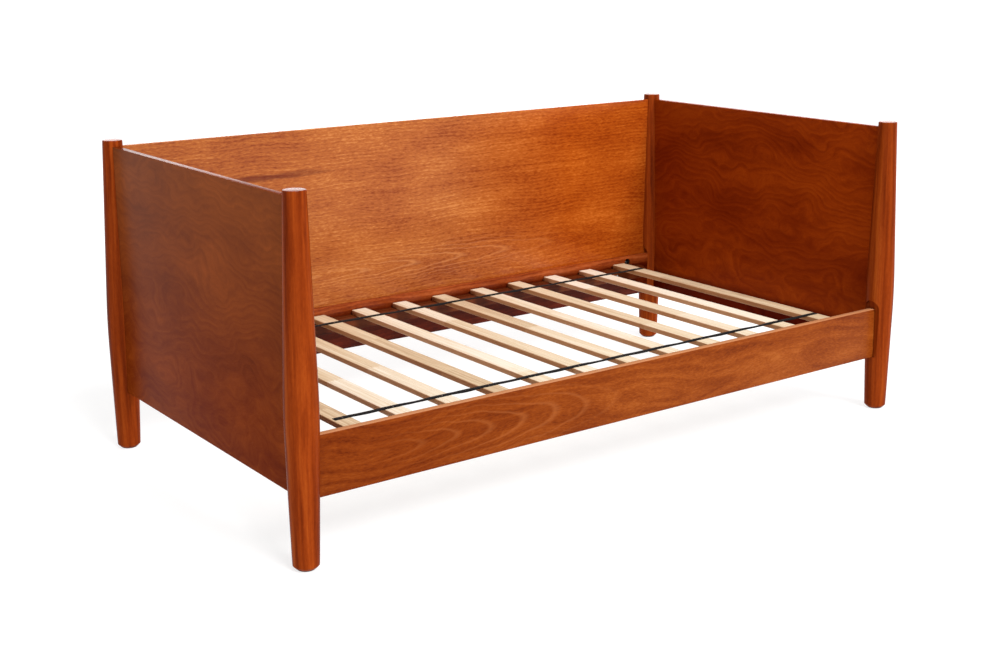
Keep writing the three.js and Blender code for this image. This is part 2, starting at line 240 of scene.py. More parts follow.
def stained_wood(
    name, tones, turn, heart, lean, ring, seed, wander=40, figure=0.3, streak=0.9, cloud=0.8, fleck=0.5,
    band=14, flow=450, index=1.2,
):
    """Stained hardwood under semi-gloss lacquer: growth rings round a pith line that passes near the piece,
    with bands of fibre, flecks and pores drawn out along the grain, and slow clouds of stain. turn lays the
    grain along the pattern's X, heart places the pith line and lean tilts it. figure, streak, cloud and
    fleck say how strongly rings, bands, clouds and flecks show. heart, ring, wander, band and flow are in
    millimetres. index is the lacquer's refractive index, kept low so that the floor's reflection doesn't
    veil the wood."""
    material, tree = new_material(name)
    place = add(tree, "ShaderNodeTexCoord").outputs["Object"]
    grain = add(tree, "ShaderNodeMapping", {
        "Vector": place, "Location": [side * MM for side in heart], "Rotation": turn,
    }).outputs[0]

    # The pith line wanders as it goes, which makes the rings flow.
    across = 2.2 / (flow * MM)
    slow = add(tree, "ShaderNodeMapping", {
        "Vector": grain, "Location": (seed,) * 3, "Scale": (across * 0.7, across, across),
    }).outputs[0]
    bend = add(tree, "ShaderNodeTexNoise", {"Vector": slow, "Scale": 1.0, "Detail": 2.0}).outputs["Color"]
    bend = add(tree, "ShaderNodeVectorMath", {0: bend, 1: (0.5,) * 3}, operation="SUBTRACT").outputs[0]
    bend = add(tree, "ShaderNodeVectorMath", {
        0: bend, 1: (0, wander * MM, wander * MM), 2: grain,
    }, operation="MULTIPLY_ADD").outputs[0]
    leaning = add(tree, "ShaderNodeMapping", {"Vector": bend, "Rotation": lean}).outputs[0]
    rings = add(tree, "ShaderNodeTexWave", {
        "Vector": leaning, "Scale": WAVE_REPEAT / (ring * MM),
        "Distortion": 1.2, "Detail": 2.0, "Detail Scale": 0.3,
    }, wave_type="RINGS", rings_direction="X", wave_profile="SAW").outputs["Fac"]
    rings = add(tree, "ShaderNodeValToRGB", {"Fac": rings}, stops=(
        (0.0, colour("#bcbcbc")), (1.0, colour("#bcbcbc")), (0.1, colour("#e8e8e8")),
        (0.45, colour("#bcbcbc")), (0.86, colour("#505050")),
    )).outputs["Color"]

    # Bands of fibre, flecks where the fibre turns and shines, and pores.
    layers = []
    for size, detail in (
        ((0.9, 1000 / band, 1000 / band), 3.0), (FLECKS_PER_METRE, 2.0), (PORES_PER_METRE, 2.0),
    ):
        stretched = add(tree, "ShaderNodeMapping", {
            "Vector": bend, "Location": (seed * 3, seed, 0), "Scale": size,
        }).outputs[0]
        layers.append(add(tree, "ShaderNodeTexNoise", {
            "Vector": stretched, "Scale": 1.0, "Detail": detail, "Roughness": 0.6,
        }).outputs["Fac"])
    stain = add(tree, "ShaderNodeMapping", {
        "Vector": grain, "Location": (seed * 2,) * 3, "Scale": (3.2, 9, 9),
    }).outputs[0]
    stain = add(tree, "ShaderNodeTexNoise", {"Vector": stain, "Scale": 1.0, "Detail": 3.0}).outputs["Fac"]

    parts = ((figure, rings), (streak, layers[0]), (fleck, layers[1]), (fleck, layers[2]), (cloud, stain))
    tone = 0.5 - 0.5 * sum(share for share, part in parts)
    for share, part in parts:
        tone = add(tree, "ShaderNodeMath", {0: part, 1: share, 2: tone}, operation="MULTIPLY_ADD").outputs[0]
    places = (0.16, 0.84, 0.4, 0.6)
    shades = [colour(tones[number]) for number in (0, 3, 1, 2)]
    wood = add(tree, "ShaderNodeValToRGB", {"Fac": tone}, stops=tuple(zip(places, shades)))
    relief = add(tree, "ShaderNodeBump", {"Height": layers[2], "Strength": 0.12, "Distance": 0.2 * MM})
    gloss = add(tree, "ShaderNodeMath", {0: layers[2], 1: 0.1, 2: 0.2}, operation="MULTIPLY_ADD")
    shader = add(tree, "ShaderNodeBsdfPrincipled", {
        "Base Color": wood.outputs["Color"], "Roughness": gloss.outputs[0], "IOR": index,
        "Normal": relief.outputs[0],
    }, name="lacquer")
    add(tree, "ShaderNodeOutputMaterial", {"Surface": shader.outputs["BSDF"]})
    return material


def spun(outline, centre, sides):
    """A closed shape turned about the vertical line through centre from radius and height pairs."""
    shape = bmesh.new()
    points = [
        shape.verts.new((centre[0] + radius * MM, centre[1], centre[2] + height * MM))
        for radius, height in outline
    ]
    edges = [shape.edges.new(pair) for pair in zip(points, points[1:])]
    bmesh.ops.spin(
        shape, geom=points + edges, cent=centre, axis=(0, 0, 1), angle=math.tau, steps=sides,
        use_merge=True, use_duplicate=False,
    )
    bmesh.ops.remove_doubles(shape, verts=shape.verts, dist=1e-7)
    return shape


def knee(step, foot, top):
    """Radius and height on the rounded knee between two tapers, where step runs from 0 to 1."""
    below = (KNEE_RADIUS - FOOT_RADIUS) / (KNEE_HEIGHT - foot) * KNEE_BLEND
    above = (KNEE_RADIUS - TOP_RADIUS) / (top - KNEE_HEIGHT) * KNEE_BLEND
    radius = KNEE_RADIUS - (1 - step) ** 2 * below - step ** 2 * above
    return radius, KNEE_HEIGHT + (2 * step - 1) * KNEE_BLEND


for corner, (side_x, side_y) in SIDES.items():
    lowest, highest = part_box(f"foot_glide_{corner}")
    centre = (lowest + highest) / 2
    glide_top = highest.z / MM
    foot = glide_top + FOOT_CHAMFER
    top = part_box(f"post_{corner}")[1].z / MM
    outline = [
        (0, glide_top), (FOOT_RADIUS - FOOT_CHAMFER, glide_top),
        (FOOT_RADIUS - FOOT_EASE, foot - FOOT_EASE), (FOOT_RADIUS - FOOT_EASE / 4, foot),
    ]
    start, end = knee(0, foot, top), knee(1, foot, top)
    for step in range(1, FOOT_STEPS):
        share = step / FOOT_STEPS
        outline.append((FOOT_RADIUS + (start[0] - FOOT_RADIUS) * share, foot + (start[1] - foot) * share))
    outline += [knee(step / KNEE_STEPS, foot, top) for step in range(KNEE_STEPS + 1)]
    for step in range(1, UPPER_STEPS + 1):
        share = step / UPPER_STEPS
        outline.append((
            end[0] + (TOP_RADIUS - end[0]) * share, end[1] + (top - TOP_ROUND - end[1]) * share,
        ))
    for step in range(1, ROUND_STEPS + 1):
        angle = math.radians(90 * step / ROUND_STEPS)
        outline.append((
            TOP_RADIUS - TOP_ROUND * (1 - math.cos(angle)), top - TOP_ROUND * (1 - math.sin(angle)),
        ))
    turned = spun(outline + [(0, top)], (centre.x, centre.y, 0), sides=96)

    gap = Vector((FIT_GAP * MM,) * 3)
    grooved = ["end_panel_left" if side_x < 0 else "end_panel_right"]
    if side_y > 0:
        grooved.append("back_panel")
    cutters = [block(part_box(node)[0] - gap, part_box(node)[1] + gap) for node in grooved]
    rail_low, rail_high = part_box("back_rail" if side_y > 0 else "front_rail")
    mouth = centre.x - side_x * CUTTER_REACH * MM
    pocket_floor = centre.x - side_x * POCKET_FLOOR * MM
    half = POCKET_HALF_WIDTH * MM
    cutters.append(block(
        (min(mouth, pocket_floor), centre.y - half, rail_low.z - gap.z),
        (max(mouth, pocket_floor), centre.y + half, rail_high.z),
    ))
    cutters.append(rod(
        (pocket_floor, centre.y, rail_high.z), (mouth, centre.y, rail_high.z), half, sides=64,
    ))
    for level in ("lower", "upper"):
        bolt_low, bolt_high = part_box(f"stud_{corner}_{level}")
        axis = (bolt_low + bolt_high) / 2
        bore_end = (bolt_high.x if side_x > 0 else bolt_low.x) + side_x * gap.x
        cutters.append(rod((bore_end, axis.y, axis.z), (mouth, axis.y, axis.z), BORE_RADIUS * MM, sides=24))

    wood = stained_wood(
        f"turned_hardwood_{corner}", ("#5a1c04", "#762b08", "#89370d", "#9c4714"),
        turn=(0, math.radians(90), 0),
        heart=(0, -centre.y / MM + PITH_INWARDS * side_y, centre.x / MM + PITH_OUTWARDS * side_x),
        lean=(0, math.radians(1.0) * side_y, math.radians(1.3) * side_x), ring=16,
        seed=3.7 + side_x * 1.3 + side_y * 2.9, wander=16, figure=0.2, streak=1.3, cloud=0.4, fleck=0.2,
        band=15, index=1.08,
    )
    finish(f"turned_post_{corner}", turned, wood, "frame", [f"post_{corner}"], cutters)


# The foot glides. Each is a moulded black polythene disc, dished underneath, nailed to the foot's end.
NAIL_HEAD_RADIUS, NAIL_HEAD_HEIGHT = 4.5, 1.6
# Steps outwards from the nail's head, and inwards from the disc's edge, each with its height.
DISH = ((0.3, 0.9), (1.5, 0.3), (3, 0))
RIM = ((1.6, 0), (0.7, 0.25), (0.15, 0.8), (0, 1.5))

# The polythene is a dull black with a fine grain of scuffs, about 1 mm across.
polythene, tree = new_material("moulded_black_polythene")
scuff = add(tree, "ShaderNodeTexNoise", {
    "Vector": add(tree, "ShaderNodeTexCoord").outputs["Object"], "Scale": 900.0, "Detail": 3.0,
}).outputs["Fac"]
shade = add(tree, "ShaderNodeValToRGB", {"Fac": scuff}, stops=(
    (0.35, colour("#0f0f10")), (0.75, colour("#2a2a2b")),
))
grit = add(tree, "ShaderNodeBump", {"Height": scuff, "Strength": 0.2, "Distance": 0.1 * MM})
shader = add(tree, "ShaderNodeBsdfPrincipled", {
    "Base Color": shade.outputs["Color"], "Roughness": 0.5, "IOR": 1.51, "Normal": grit.outputs[0],
})
add(tree, "ShaderNodeOutputMaterial", {"Surface": shader.outputs["BSDF"]})

for corner in SIDES:
    lowest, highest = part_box(f"foot_glide_{corner}")
    radius, height = (highest.x - lowest.x) / 2 / MM, highest.z / MM
    outline = [(0, NAIL_HEAD_HEIGHT), (NAIL_HEAD_RADIUS, NAIL_HEAD_HEIGHT)]
    outline += [(NAIL_HEAD_RADIUS + step, up) for step, up in DISH]
    outline += [(radius - step, up) for step, up in RIM]
    outline += [(radius, height), (0, height)]
    disc = spun(outline, ((lowest.x + highest.x) / 2, (lowest.y + highest.y) / 2, 0), sides=64)
    finish(f"glide_disc_{corner}", disc, polythene, "frame", [f"foot_glide_{corner}"])


# The end panels. Each is a 19 mm veneered board with softened arrises, stained to match the posts, whose
# two ends stand in the posts' grooves. The veneer is rotary cut, so its rings flow in wide loops.
ARRIS = 2


def toned(material, mask, shade, blend="MIX"):
    """Mixes a shade into a stained wood's colour where mask is 1."""
    tree = material.node_tree
    stained = tree.nodes["lacquer"].inputs["Base Color"]
    mixed = add(tree, "ShaderNodeMix", {
        0: mask, 6: stained.links[0].from_socket, 7: colour(shade),
    }, data_type="RGBA", blend_type=blend)
    tree.links.new(mixed.outputs[2], stained)


def board(node, arris):
    """A board the size of a CAD node, with its twelve edges rounded."""
    shape = block(*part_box(node))
    bmesh.ops.bevel(
        shape, geom=shape.edges[:], offset=arris * MM, segments=4, profile=0.5, affect="EDGES", material=-1,
    )
    return shape


for side, (depth, seed, tones) in {
    "left": (150, 1.4, ("#5a1b04", "#6c2707", "#79310b", "#893b10")),
    "right": (190, 8.2, ("#671d03", "#7d2905", "#8d3407", "#9e3f0b")),
}.items():
    node = f"end_panel_{side}"
    middle = (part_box(node)[0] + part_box(node)[1]) / 2 / MM
    veneer = stained_wood(
        f"rotary_cut_veneer_{side}", tones,
        turn=(0, 0, math.radians(-90)), heart=(0, middle.x + depth, -300), lean=(0, 0.02, 0.05), ring=22,
        seed=seed, wander=240, figure=0.19, streak=0.45, cloud=0.9, fleck=0.25, flow=380, index=1.05,
    )
    # The inner face is darker below the slats: painted shade for the shadow under the deck.
    # The outer face is a little paler towards the top: painted reflection of the bright surround.
    tree = veneer.node_tree
    height = add(tree, "ShaderNodeTexCoord").outputs["Object"]
    height = add(tree, "ShaderNodeSeparateXYZ", {0: height}).outputs[2]
    normal = add(tree, "ShaderNodeNewGeometry").outputs["Normal"]
    normal = add(tree, "ShaderNodeSeparateXYZ", {0: normal}).outputs[0]
    inwards = 1.0 if side == "left" else -1.0
    for facing, low, high, share, shade, blend in (
        (inwards, 0.265, 0.24, 1.0, "#9a7055", "MULTIPLY"), (-inwards, 0.3, 0.85, 0.09, "#c99a68", "MIX"),
    ):
        mask = add(tree, "ShaderNodeMapRange", {0: height, 1: low, 2: high, 4: share}).outputs[0]
        face = add(tree, "ShaderNodeMath", {0: normal, 1: facing}, operation="MULTIPLY", use_clamp=True)
        mask = add(tree, "ShaderNodeMath", {0: mask, 1: face.outputs[0]}, operation="MULTIPLY").outputs[0]
        toned(veneer, mask, shade, blend)
    finish(f"veneered_end_{side}", board(node, ARRIS), veneer, "frame", [node])


# The back panel. It is the same board with a crown-cut veneer: straight grain over most of its height, and
# a row of pointed arches low down, where the knife passed the heart of the log.
# Where the arches and the streak lie and how far they reach, each as X and Z in metres.
ARCHES_CENTRE, ARCHES_REACH = (0.03, 0.405), (0.62, 0.062)
STREAK_CENTRE, STREAK_REACH = (-0.53, 0.724), (0.2, 0.011)


def marked(material, centre, reach, stain, ragged, edge, lines=()):
    """Stains a ragged oval on a board's face. centre and reach are X and Z in metres, and the stain fades
    between the two shares of the reach in edge. lines makes it arched growth lines only: it holds the
    face's Y in metres, the pith's distance from the face and the lines' spacing in millimetres, and the
    pith's slope."""
    tree = material.node_tree
    place = add(tree, "ShaderNodeTexCoord").outputs["Object"]
    rough = add(tree, "ShaderNodeMapping", {"Vector": place, "Scale": (12, 0, 1.1 / reach[1])}).outputs[0]
    rough = add(tree, "ShaderNodeTexNoise", {"Vector": rough, "Scale": 1.0, "Detail": 3.0}).outputs["Color"]
    rough = add(tree, "ShaderNodeVectorMath", {0: rough, 1: (0.5,) * 3}, operation="SUBTRACT").outputs[0]
    patch = add(tree, "ShaderNodeMapping", {
        "Vector": place, "Location": (-centre[0] / reach[0], 0, -centre[1] / reach[1]),
        "Scale": (1 / reach[0], 0, 1 / reach[1]),
    }).outputs[0]
    patch = add(tree, "ShaderNodeVectorMath", {
        0: rough, 1: (ragged,) * 3, 2: patch,
    }, operation="MULTIPLY_ADD").outputs[0]
    patch = add(tree, "ShaderNodeVectorMath", {0: patch}, operation="LENGTH").outputs["Value"]
    patch = add(tree, "ShaderNodeMapRange", {0: patch, 1: edge[0], 2: edge[1], 3: 0.75, 4: 0.0}).outputs[0]
    if lines:
        face, distance, spacing, slope = lines
        bent = add(tree, "ShaderNodeVectorMath", {
            0: rough, 1: (0, 0, 0.02), 2: place,
        }, operation="MULTIPLY_ADD").outputs[0]
        arches = add(tree, "ShaderNodeMapping", {
            "Vector": bent, "Rotation": (0, 0, slope),
            "Location": (0, distance * MM - face - slope * centre[0], -centre[1]),
        }).outputs[0]
        arches = add(tree, "ShaderNodeTexWave", {
            "Vector": arches, "Scale": WAVE_REPEAT / (spacing * MM), "Distortion": 0.4, "Detail": 2.0,
        }, wave_type="RINGS", rings_direction="X", wave_profile="SAW").outputs["Fac"]
        arches = add(tree, "ShaderNodeValToRGB", {"Fac": arches}, stops=(
            (0.0, colour("#000000")), (0.36, colour("#000000")), (0.14, colour("#b8b8b8")),
        )).outputs["Color"]
        patch = add(tree, "ShaderNodeMath", {0: patch, 1: arches}, operation="MULTIPLY").outputs[0]
    toned(material, patch, stain)


veneer = stained_wood(
    "crown_cut_veneer", ("#7c3412", "#954c1e", "#a45a25", "#ba733a"),
    turn=(0, 0, 0), heart=(0, -536, -405), lean=(0, 0.006, -0.03), ring=11,
    seed=5.1, wander=40, figure=0.2, streak=0.5, cloud=0.9, fleck=0.75, band=9, index=1.3,
)
# The arches are pale lines round a pith that draws away from the face from left to right, and the streak is
# a dark red mineral stain near the left end. The colour deepens to orange towards the right-hand end:
# painted light, standing in for the weaker reflection of the bright surround there.
marked(
    veneer, ARCHES_CENTRE, ARCHES_REACH, "#cf8c52", ragged=0.5, edge=(0.55, 1.1),
    lines=(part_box("back_panel")[0].y, 28, 8, 0.045),
)
marked(veneer, STREAK_CENTRE, STREAK_REACH, "#561004", ragged=1.6, edge=(0.5, 1.2))
tree = veneer.node_tree
# Painted reflection: the colour is multiplied to a deeper orange towards the right-hand end.
along = add(tree, "ShaderNodeTexCoord").outputs["Object"]
along = add(tree, "ShaderNodeSeparateXYZ", {0: along}).outputs[0]
deeper = add(tree, "ShaderNodeMapRange", {0: along, 1: 0.1, 2: 0.6}).outputs[0]
toned(veneer, deeper, "#fad392", "MULTIPLY")
finish("veneered_back", board("back_panel", ARRIS), veneer, "frame", ["back_panel"])


# The front rail. It is a solid board with rounded edges. Each end has two bores for the studs, which run
# into round nut pockets opened from the inside, and the inside has pilot holes for the cleat's screws.
NUT_POCKET_X, NUT_POCKET_RADIUS, NUT_POCKET_FLOOR = 855, 12, 6
BORE_REACH = 100
RAIL_EDGE = 3
SCREW_HOLE_RADIUS = 2.4
RAIL_ARCHES_CENTRE, RAIL_ARCHES_REACH = (-0.45, 0.235), (0.38, 0.085)


def rail_cutters(rail, inner_y, inwards):
    """Bores, nut pockets and pilot holes for a rail whose inner face looks inwards, +1 or -1, along Y."""
    cutters = []
    for side_name, side in (("left", -1), ("right", 1)):
        for level in ("lower", "upper"):
            low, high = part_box(f"stud_{rail}_{side_name}_{level}")
            axis = (low + high) / 2
            pocket_x = side * NUT_POCKET_X * MM
            past_end = axis.x + side * BORE_REACH * MM
            cutters.append(rod(
                (past_end, axis.y, axis.z), (pocket_x, axis.y, axis.z), BORE_RADIUS * MM, sides=24,
            ))
            cutters.append(rod(
                (pocket_x, axis.y - inwards * NUT_POCKET_FLOOR * MM, axis.z),
                (pocket_x, inner_y + inwards * MM, axis.z), NUT_POCKET_RADIUS * MM, sides=48,
            ))
    for place in ("left", "middle", "right"):
        low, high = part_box(f"cleat_screw_{rail}_{place}")
        axis = (low + high) / 2
        tip = low.y if inwards > 0 else high.y
        cutters.append(rod(
            (axis.x, tip - inwards * FIT_GAP * MM, axis.z), (axis.x, inner_y + inwards * MM, axis.z),
            SCREW_HOLE_RADIUS * MM, sides=16,
        ))
    return cutters


flowing = stained_wood(
    "flowing_hardwood", ("#5c2106", "#78340c", "#8a4213", "#9d5520"),
    turn=(0, 0, 0), heart=(0, 569, -215), lean=(0, -0.035, 0.05), ring=28,
    seed=11.6, wander=150, figure=0.2, streak=0.42, cloud=0.7, fleck=0.45, flow=700, index=1.12,
)
# It has a set of pale arches in its left half. The left-hand end is stained a little deeper. The top edge is
# painted paler, a painted highlight for the bright reflection along it.
marked(
    flowing, RAIL_ARCHES_CENTRE, RAIL_ARCHES_REACH, "#ad6634", ragged=0.6, edge=(0.5, 1.15),
    lines=(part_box("front_rail")[0].y, 48, 12, 0.12),
)
tree = flowing.node_tree
along = add(tree, "ShaderNodeTexCoord").outputs["Object"]
along = add(tree, "ShaderNodeSeparateXYZ", {0: along}).outputs[0]
deeper = add(tree, "ShaderNodeMapRange", {0: along, 1: 0.0, 2: -0.7}).outputs[0]
toned(flowing, deeper, "#e2cfb4", "MULTIPLY")
# Painted highlight: faces that look upwards are mixed to a paler tone.
upwards = add(tree, "ShaderNodeNewGeometry").outputs["Normal"]
upwards = add(tree, "ShaderNodeSeparateXYZ", {0: upwards}).outputs[2]
painted_top_highlight = add(tree, "ShaderNodeMapRange", {0: upwards, 1: 0.4, 2: 0.95, 4: 0.7}).outputs[0]
toned(flowing, painted_top_highlight, "#c98d62")
finish(
    "shaped_front_rail", board("front_rail", RAIL_EDGE), flowing, "frame", ["front_rail"],
    rail_cutters("front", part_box("front_rail")[1].y, 1),
)


# The back rail. It is a thinner board of redder, straighter-grained wood that lies against the back panel,
# with the same bores and pockets.
BACK_RAIL_EDGE = 1.2

reddish = stained_wood(
    "reddish_hardwood", ("#641f0a", "#803412", "#93421a", "#a55228"),
    turn=(0, 0, 0), heart=(0, -437, -240), lean=(0, 0.02, 0.02), ring=10,
    seed=14.3, wander=40, figure=0.3, streak=0.9, cloud=0.8,
)
# Its colour is darker from the level of the slats downwards: painted shade for the shadow under the slats.
tree = reddish.node_tree
height = add(tree, "ShaderNodeTexCoord").outputs["Object"]
height = add(tree, "ShaderNodeSeparateXYZ", {0: height}).outputs[2]
below = add(tree, "ShaderNodeMapRange", {0: height, 1: 0.295, 2: 0.28}).outputs[0]
toned(reddish, below, "#9a7055", "MULTIPLY")
finish(
    "shaped_back_rail", board("back_rail", BACK_RAIL_EDGE), reddish, "frame", ["back_rail"],
    rail_cutters("back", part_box("back_rail")[0].y, -1),
)


# The cleats. Each is a plain square-edged bar of hardwood, screwed along a rail's inner face, with its
# screws sunk in counterbores. The slats lie on its top. Its tones are made very dark: painted shade for
# the deep shadow under the slats.
COUNTERBORE_RADIUS, COUNTERBORE_DEPTH = 4.7, 4
CLEAT_EDGE = 1

for rail, inwards, seed in (("front", 1, 20.5), ("back", -1, 23.9)):
    node = f"slat_cleat_{rail}"
    low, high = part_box(node)
    inner_y = high.y if inwards > 0 else low.y
    rail_y = low.y if inwards > 0 else high.y
    cutters = []
    for place in ("left", "middle", "right"):
        screw_low, screw_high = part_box(f"cleat_screw_{rail}_{place}")
        axis = (screw_low + screw_high) / 2
        seat = inner_y - inwards * COUNTERBORE_DEPTH * MM
        past = inner_y + inwards * MM
        cutters.append(rod(
            (axis.x, rail_y - inwards * MM, axis.z), (axis.x, past, axis.z), SCREW_HOLE_RADIUS * MM,
            sides=16,
        ))
        cutters.append(rod((axis.x, seat, axis.z), (axis.x, past, axis.z), COUNTERBORE_RADIUS * MM, sides=32))
    # The very dark tones here are painted shade for the shadow under the slats.
    bar = stained_wood(
        f"straight_hardwood_{rail}", ("#3a1206", "#4c1d0a", "#57260e", "#612f14"),
        turn=(0, 0, 0), heart=(0, -inwards * 80, -300), lean=(0, 0.01, 0.01), ring=9,
        seed=seed, wander=20, figure=0.3, streak=1.1, cloud=0.6,
    )
    finish(f"bar_cleat_{rail}", board(node, CLEAT_EDGE), bar, "frame", [node], cutters)


# The knock-down fittings. A length of zinc-plated M6 threaded rod screws into the post and runs through
# the rail's end into the nut pocket, where a blackened half-moon washer and a hexagon nut pull it tight.
THREAD_CREST, THREAD_ROOT, THREAD_PITCH = 3.0, 2.45, 1.0
THREAD_SIDES = 16
NUT_BORE_RADIUS = 3.1
HOLE_REACH = 30
SHARP_ANGLE = 40

# Zinc plating is a bright bluish grey with a fine spangle, drawn about 2 mm across.
zinc, tree = new_material("zinc_plated_steel")
spangle = add(tree, "ShaderNodeTexNoise", {
    "Vector": add(tree, "ShaderNodeTexCoord").outputs["Object"], "Scale": 600.0, "Detail": 2.0,
}).outputs["Fac"]
shade = add(tree, "ShaderNodeValToRGB", {"Fac": spangle}, stops=(
    (0.3, colour("#a9adb2")), (0.7, colour("#c9ccce")),
))
dull = add(tree, "ShaderNodeMath", {0: spangle, 1: 0.2, 2: 0.22}, operation="MULTIPLY_ADD")
shader = add(tree, "ShaderNodeBsdfPrincipled", {
    "Base Color": shade.outputs["Color"], "Metallic": 1.0, "Roughness": dull.outputs[0],
})
add(tree, "ShaderNodeOutputMaterial", {"Surface": shader.outputs["BSDF"]})

# Blackened steel is a near-black oxide skin with a soft shine, cloudy over 2 mm or so.
blackened, tree = new_material("blackened_steel")
oxide = add(tree, "ShaderNodeTexNoise", {
    "Vector": add(tree, "ShaderNodeTexCoord").outputs["Object"], "Scale": 450.0, "Detail": 3.0,
}).outputs["Fac"]
shade = add(tree, "ShaderNodeValToRGB", {"Fac": oxide}, stops=(
    (0.3, colour("#141416")), (0.75, colour("#2b2b2e")),
))
pits = add(tree, "ShaderNodeBump", {"Height": oxide, "Strength": 0.15, "Distance": 0.1 * MM})
shader = add(tree, "ShaderNodeBsdfPrincipled", {
    "Base Color": shade.outputs["Color"], "Metallic": 0.8, "Roughness": 0.42, "Normal": pits.outputs[0],
})
add(tree, "ShaderNodeOutputMaterial", {"Surface": shader.outputs["BSDF"]})


def threaded_rod(low, high):
    """A thread wound along X between the ends of a box, cut square and closed at both ends."""
    axis = (low + high) / 2
    turns = round((high.x - low.x) / MM / THREAD_PITCH) + 2
    start = low.x - THREAD_PITCH * MM
    shape = bmesh.new()
    outline = ((THREAD_ROOT, 0), (THREAD_CREST, 0.5), (THREAD_ROOT, 1))
    points = [
        shape.verts.new((start + run * THREAD_PITCH * MM, axis.y, axis.z + radius * MM))
        for radius, run in outline
    ]
    edges = [shape.edges.new(pair) for pair in zip(points, points[1:])]
    bmesh.ops.spin(
        shape, geom=points + edges, cent=axis, axis=(1, 0, 0), angle=math.tau * turns,
        dvec=(THREAD_PITCH * MM / THREAD_SIDES, 0, 0), steps=THREAD_SIDES * turns, use_duplicate=False,
    )
    bmesh.ops.remove_doubles(shape, verts=shape.verts, dist=1e-6)
    for end, outwards in ((low.x, -1), (high.x, 1)):
        bmesh.ops.bisect_plane(
            shape, geom=shape.verts[:] + shape.edges[:] + shape.faces[:], dist=1e-7,
            plane_co=(end, axis.y, axis.z), plane_no=(outwards, 0, 0), clear_outer=True,
        )
    bmesh.ops.holes_fill(shape, edges=[edge for edge in shape.edges if edge.is_boundary], sides=0)
    return shape


def eased(shape, radius):
    """Rounds a shape's sharp edges."""
    sharp = [edge for edge in shape.edges if edge.calc_face_angle(0) > math.radians(SHARP_ANGLE)]
    bmesh.ops.bevel(
        shape, geom=sharp, offset=radius * MM, segments=2, profile=0.5, affect="EDGES", material=-1,
    )
    return shape


# All eight rods are the same, so one is wound and the rest are copies of it.
pattern_low, pattern_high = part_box("stud_front_left_lower")
pattern_rod = threaded_rod(pattern_low, pattern_high)

for rail in ("front", "back"):
    for side_name, side in (("left", -1), ("right", 1)):
        for level in ("lower", "upper"):
            place = f"{rail}_{side_name}_{level}"
            low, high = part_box(f"stud_{place}")
            stud = pattern_rod.copy()
            bmesh.ops.translate(stud, verts=stud.verts, vec=low - pattern_low)
            finish(f"threaded_stud_{place}", stud, zinc, "frame", [f"stud_{place}"])
            axis = (low + high) / 2
            pocket_x = side * NUT_POCKET_X * MM
            hole_start = (pocket_x - HOLE_REACH * MM, axis.y, axis.z)
            hole_end = (pocket_x + HOLE_REACH * MM, axis.y, axis.z)
            washer_low, washer_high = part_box(f"half_moon_washer_{place}")
            flat = washer_low.x if side > 0 else washer_high.x
            reach = (washer_high.x if side > 0 else -washer_low.x) - abs(pocket_x)
            moon = rod(
                (pocket_x, washer_low.y, axis.z), (pocket_x, washer_high.y, axis.z), reach, sides=48,
            )
            bmesh.ops.bisect_plane(
                moon, geom=moon.verts[:] + moon.edges[:] + moon.faces[:], dist=1e-7,
                plane_co=(flat, 0, 0), plane_no=(-side, 0, 0), clear_outer=True,
            )
            bmesh.ops.holes_fill(moon, edges=[edge for edge in moon.edges if edge.is_boundary], sides=0)
            finish(
                f"half_moon_{place}", eased(moon, 0.5), blackened, "frame",
                [f"half_moon_washer_{place}"], [rod(hole_start, hole_end, BORE_RADIUS * MM, sides=24)],
            )
            nut_low, nut_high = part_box(f"nut_{place}")
            across_corners = nut_high.z - nut_low.z
            nut = rod(
                (nut_low.x, axis.y, axis.z), (nut_high.x, axis.y, axis.z), across_corners / 2, sides=6,
            )
            finish(
                f"hex_nut_{place}", eased(nut, 0.45), blackened, "frame", [f"nut_{place}"],
                [rod(hole_start, hole_end, NUT_BORE_RADIUS * MM, sides=24)],
            )


# The cleat screws. Each is a zinc-plated wood screw with a domed head and a cross recess.
SHANK_RADIUS, SCREW_POINT = 2.0, 6
SCREW_HEAD_RADIUS, SCREW_HEAD_HEIGHT, SCREW_DOME = 4.0, 2.6, 1.8
RECESS_HALF_LENGTH, RECESS_HALF_WIDTH, RECESS_DEPTH = 2.1, 0.45, 1.7

for rail, inwards in (("front", 1), ("back", -1)):
    for place in ("left", "middle", "right"):
        node = f"cleat_screw_{rail}_{place}"
        low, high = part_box(node)
        axis = (low + high) / 2
        head = high.y if inwards > 0 else low.y
        length = (high.y - low.y) / MM
        outline = [(0, -length), (SHANK_RADIUS * 0.3, -length + 1), (SHANK_RADIUS, -length + SCREW_POINT)]
        outline += [(SHANK_RADIUS, -SCREW_HEAD_HEIGHT), (SCREW_HEAD_RADIUS - 0.2, -SCREW_HEAD_HEIGHT)]
        outline += [(SCREW_HEAD_RADIUS, -SCREW_HEAD_HEIGHT + 0.2), (SCREW_HEAD_RADIUS, -SCREW_DOME)]
        for degrees in (20, 40, 60, 78, 90):
            angle = math.radians(degrees)
            outline.append((SCREW_HEAD_RADIUS * math.cos(angle), SCREW_DOME * math.sin(angle) - SCREW_DOME))
        screw = spun(outline, (0, 0, 0), sides=32)
        recess = [
            block((-half_x * MM, -half_y * MM, -RECESS_DEPTH * MM), (half_x * MM, half_y * MM, MM))
            for half_x, half_y in (
                (RECESS_HALF_LENGTH, RECESS_HALF_WIDTH), (RECESS_HALF_WIDTH, RECESS_HALF_LENGTH),
            )
        ]
        turn = Matrix.Rotation(-inwards * math.radians(90), 4, "X")
        stand = Matrix.Translation((axis.x, head, axis.z)) @ turn
        for shape in (screw, *recess):
            bmesh.ops.transform(shape, matrix=stand, verts=shape.verts)
        finish(f"domed_screw_{rail}_{place}", screw, zinc, "frame", [node], recess)


# The slats. Each is a planed bar of unfinished pine, 50 by 14 mm with softened edges, made of shorter
# lengths finger-jointed end to end, so its tone steps where one length meets the next.
SLAT_EDGE = 2
